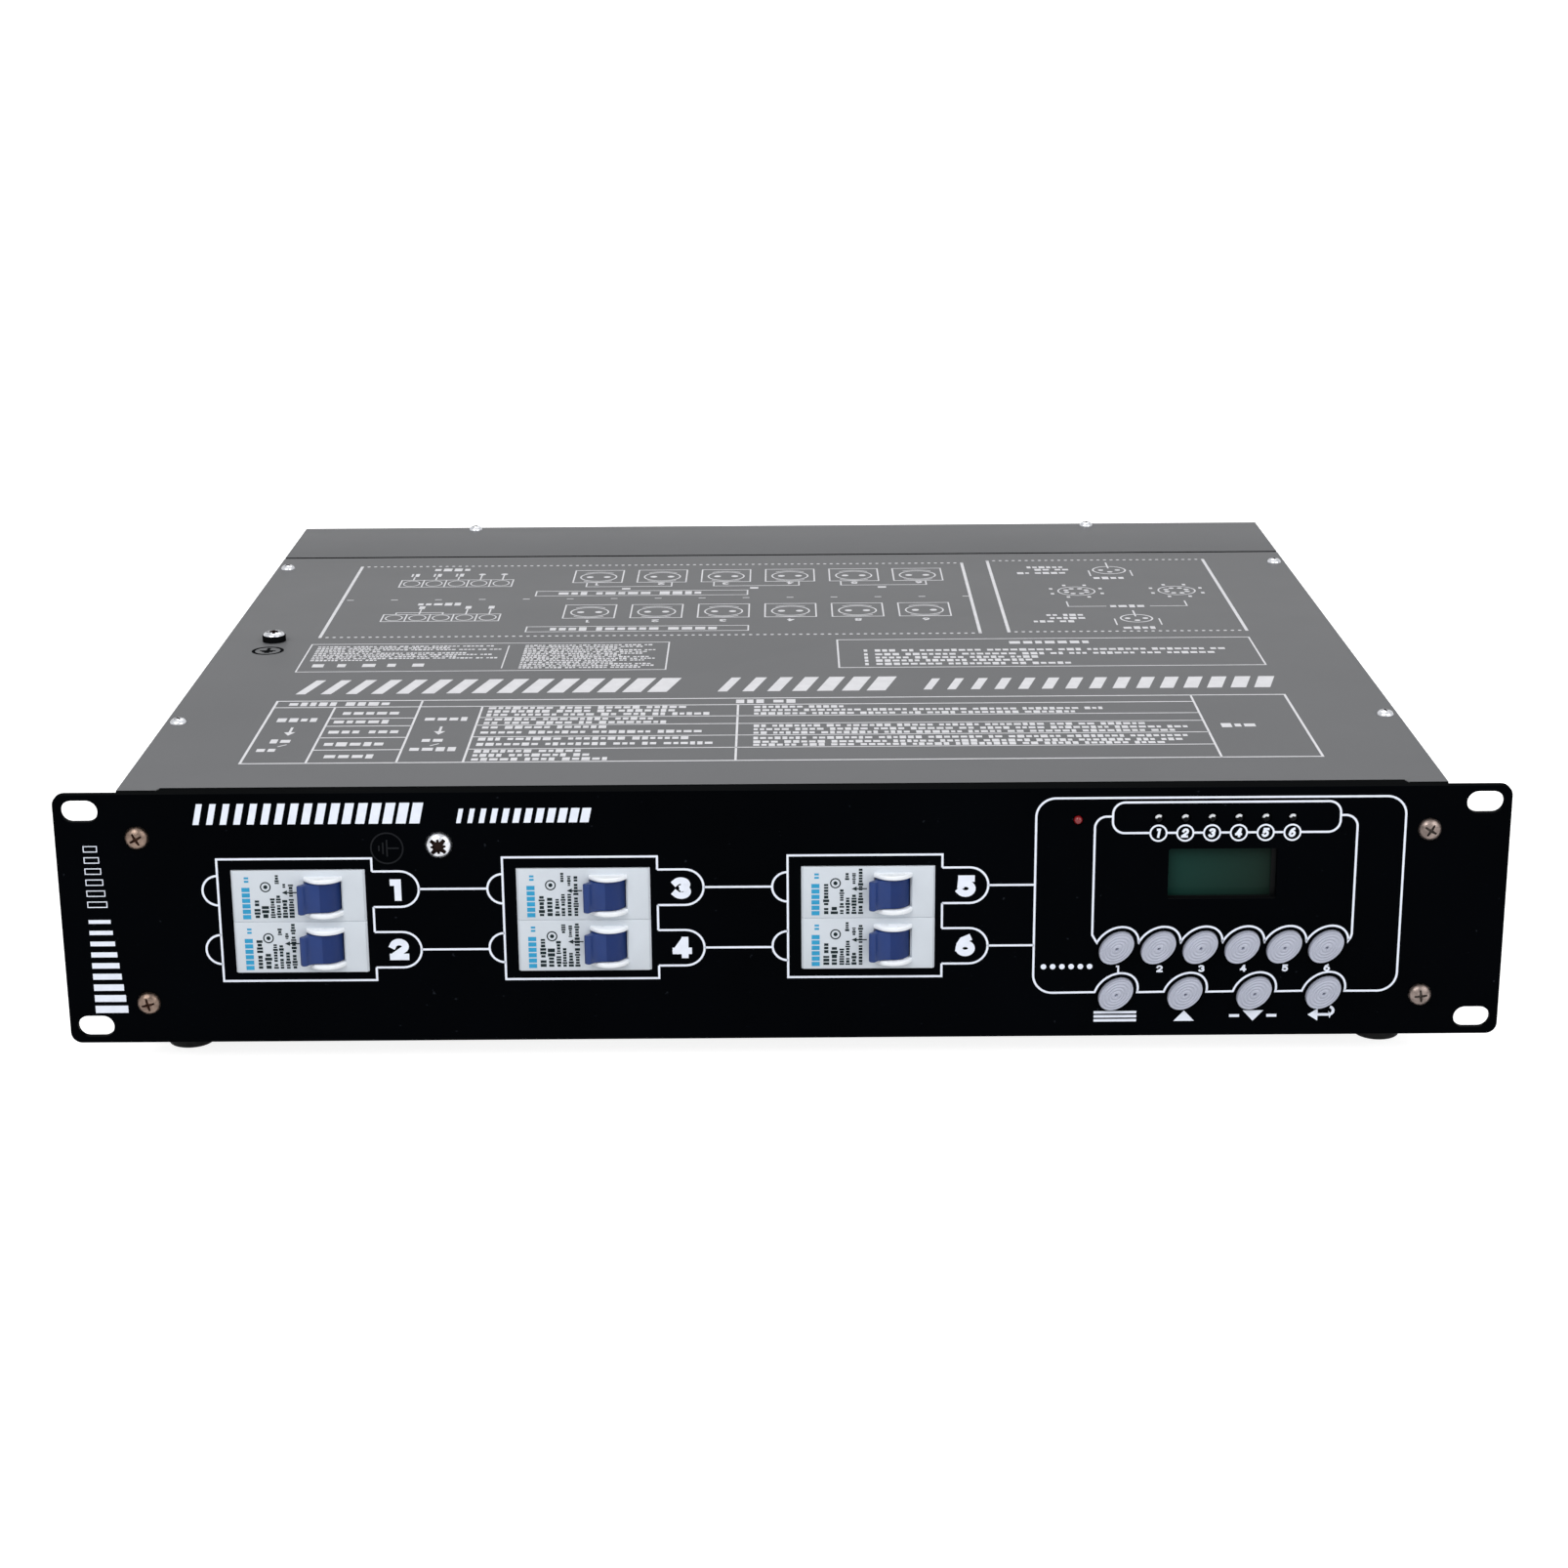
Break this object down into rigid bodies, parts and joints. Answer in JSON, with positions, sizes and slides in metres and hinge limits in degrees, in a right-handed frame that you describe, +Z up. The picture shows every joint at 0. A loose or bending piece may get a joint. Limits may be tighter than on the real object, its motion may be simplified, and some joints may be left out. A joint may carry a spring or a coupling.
{
  "type": "dimmer pack",
  "caption": "Rack-mount dimmer pack: circuit breakers behind panel windows, a keypad and display, mains outlets and control inputs at the rear, in a folded steel case.",
  "frame": {"origin": "middle of the base, on the plane that the feet stand on", "axes": "+X to the right along the front panel as seen from the front, +Y from the front to the rear, +Z up"},
  "size_m": [0.4826, 0.442, 0.0971],
  "materials": {
    "black_panel": "satin black powder coat",
    "grey_paint": "fine satin dark grey paint",
    "zinc_steel": "zinc plated",
    "aluminium": "extruded",
    "white_plastic": "satin moulding",
    "blue_plastic": "satin moulding",
    "grey_plastic": "matt moulding",
    "black_plastic": "fine matt moulding",
    "rubber": "matt",
    "circuit_board": "solder mask with soldered parts",
    "display": "dark green glass in a black frame",
    "clear_lens": "clear lens",
    "red_lens": "red lens",
    "nickel": "satin nickel",
    "lamination": "varnished core and winding"
  },
  "bodies": {
    "case": {"front_panel": "black_panel", "chassis_tray": "grey_paint", "top_cover": "grey_paint", "wiring_cover": "grey_paint", "rear_panel": "grey_paint", "breaker_bracket": "zinc_steel", "heat_sink": "aluminium", "breaker_1": "white_plastic", "breaker_2": "white_plastic", "breaker_3": "white_plastic", "breaker_4": "white_plastic", "breaker_5": "white_plastic", "breaker_6": "white_plastic", "terminal_block": "white_plastic", "outlet_1": "black_plastic", "outlet_2": "black_plastic", "outlet_3": "black_plastic", "outlet_4": "black_plastic", "outlet_5": "black_plastic", "outlet_6": "black_plastic", "analog_input_1": "black_plastic", "analog_input_2": "black_plastic", "cable_gland": "black_plastic", "gland_nut": "black_plastic", "fan_frame": "black_plastic", "foot_front_left": "rubber", "foot_front_right": "rubber", "foot_rear_left": "rubber", "foot_rear_right": "rubber", "control_board": "circuit_board", "power_board": "circuit_board", "display_module": "display", "channel_led_1": "clear_lens", "channel_led_2": "clear_lens", "channel_led_3": "clear_lens", "channel_led_4": "clear_lens", "channel_led_5": "clear_lens", "channel_led_6": "clear_lens", "power_led": "red_lens", "signal_input": "nickel", "signal_output": "nickel", "transformer": "lamination"},
    "breaker_toggle_1": {"breaker_toggle_1": "blue_plastic"},
    "breaker_toggle_2": {"breaker_toggle_2": "blue_plastic"},
    "breaker_toggle_3": {"breaker_toggle_3": "blue_plastic"},
    "breaker_toggle_4": {"breaker_toggle_4": "blue_plastic"},
    "breaker_toggle_5": {"breaker_toggle_5": "blue_plastic"},
    "breaker_toggle_6": {"breaker_toggle_6": "blue_plastic"},
    "channel_button_1": {"channel_button_1": "grey_plastic"},
    "channel_button_2": {"channel_button_2": "grey_plastic"},
    "channel_button_3": {"channel_button_3": "grey_plastic"},
    "channel_button_4": {"channel_button_4": "grey_plastic"},
    "channel_button_5": {"channel_button_5": "grey_plastic"},
    "channel_button_6": {"channel_button_6": "grey_plastic"},
    "menu_button": {"menu_button": "grey_plastic"},
    "up_button": {"up_button": "grey_plastic"},
    "down_button": {"down_button": "grey_plastic"},
    "escape_button": {"escape_button": "grey_plastic"},
    "fan_rotor": {"fan_rotor": "black_plastic"},
    "signal_latch": {"signal_latch": "black_plastic"}
  },
  "joints": [
    {"name": "toggle_1_swing", "type": "hinge", "parent": "case", "child": "breaker_toggle_1", "pos_m": [-0.1531, -0.21128, 0.06125], "axis": [0, 0, 1], "range_deg": [0, 80]},
    {"name": "toggle_2_swing", "type": "hinge", "parent": "case", "child": "breaker_toggle_2", "pos_m": [-0.1531, -0.21128, 0.04315], "axis": [0, 0, 1], "range_deg": [0, 80]},
    {"name": "toggle_3_swing", "type": "hinge", "parent": "case", "child": "breaker_toggle_3", "pos_m": [-0.0582, -0.21128, 0.06125], "axis": [0, 0, 1], "range_deg": [0, 80]},
    {"name": "toggle_4_swing", "type": "hinge", "parent": "case", "child": "breaker_toggle_4", "pos_m": [-0.0582, -0.21128, 0.04315], "axis": [0, 0, 1], "range_deg": [0, 80]},
    {"name": "toggle_5_swing", "type": "hinge", "parent": "case", "child": "breaker_toggle_5", "pos_m": [0.0367, -0.21128, 0.06125], "axis": [0, 0, 1], "range_deg": [0, 80]},
    {"name": "toggle_6_swing", "type": "hinge", "parent": "case", "child": "breaker_toggle_6", "pos_m": [0.0367, -0.21128, 0.04315], "axis": [0, 0, 1], "range_deg": [0, 80]},
    {"name": "channel_button_1_press", "type": "slide", "parent": "case", "child": "channel_button_1", "axis": [0, 1, 0], "range_m": [0, 0.0008], "stiffness_N_per_m": 500},
    {"name": "channel_button_2_press", "type": "slide", "parent": "case", "child": "channel_button_2", "axis": [0, 1, 0], "range_m": [0, 0.0008], "stiffness_N_per_m": 500},
    {"name": "channel_button_3_press", "type": "slide", "parent": "case", "child": "channel_button_3", "axis": [0, 1, 0], "range_m": [0, 0.0008], "stiffness_N_per_m": 500},
    {"name": "channel_button_4_press", "type": "slide", "parent": "case", "child": "channel_button_4", "axis": [0, 1, 0], "range_m": [0, 0.0008], "stiffness_N_per_m": 500},
    {"name": "channel_button_5_press", "type": "slide", "parent": "case", "child": "channel_button_5", "axis": [0, 1, 0], "range_m": [0, 0.0008], "stiffness_N_per_m": 500},
    {"name": "channel_button_6_press", "type": "slide", "parent": "case", "child": "channel_button_6", "axis": [0, 1, 0], "range_m": [0, 0.0008], "stiffness_N_per_m": 500},
    {"name": "menu_button_press", "type": "slide", "parent": "case", "child": "menu_button", "axis": [0, 1, 0], "range_m": [0, 0.0008], "stiffness_N_per_m": 500},
    {"name": "up_button_press", "type": "slide", "parent": "case", "child": "up_button", "axis": [0, 1, 0], "range_m": [0, 0.0008], "stiffness_N_per_m": 500},
    {"name": "down_button_press", "type": "slide", "parent": "case", "child": "down_button", "axis": [0, 1, 0], "range_m": [0, 0.0008], "stiffness_N_per_m": 500},
    {"name": "escape_button_press", "type": "slide", "parent": "case", "child": "escape_button", "axis": [0, 1, 0], "range_m": [0, 0.0008], "stiffness_N_per_m": 500},
    {"name": "fan_spin", "type": "hinge", "parent": "case", "child": "fan_rotor", "pos_m": [0.212, 0.00992, 0.053], "axis": [1, 0, 0], "continuous": true},
    {"name": "latch_press", "type": "slide", "parent": "case", "child": "signal_latch", "axis": [0, -1, 0], "range_m": [0, 0.0014], "stiffness_N_per_m": 600}
  ]
}
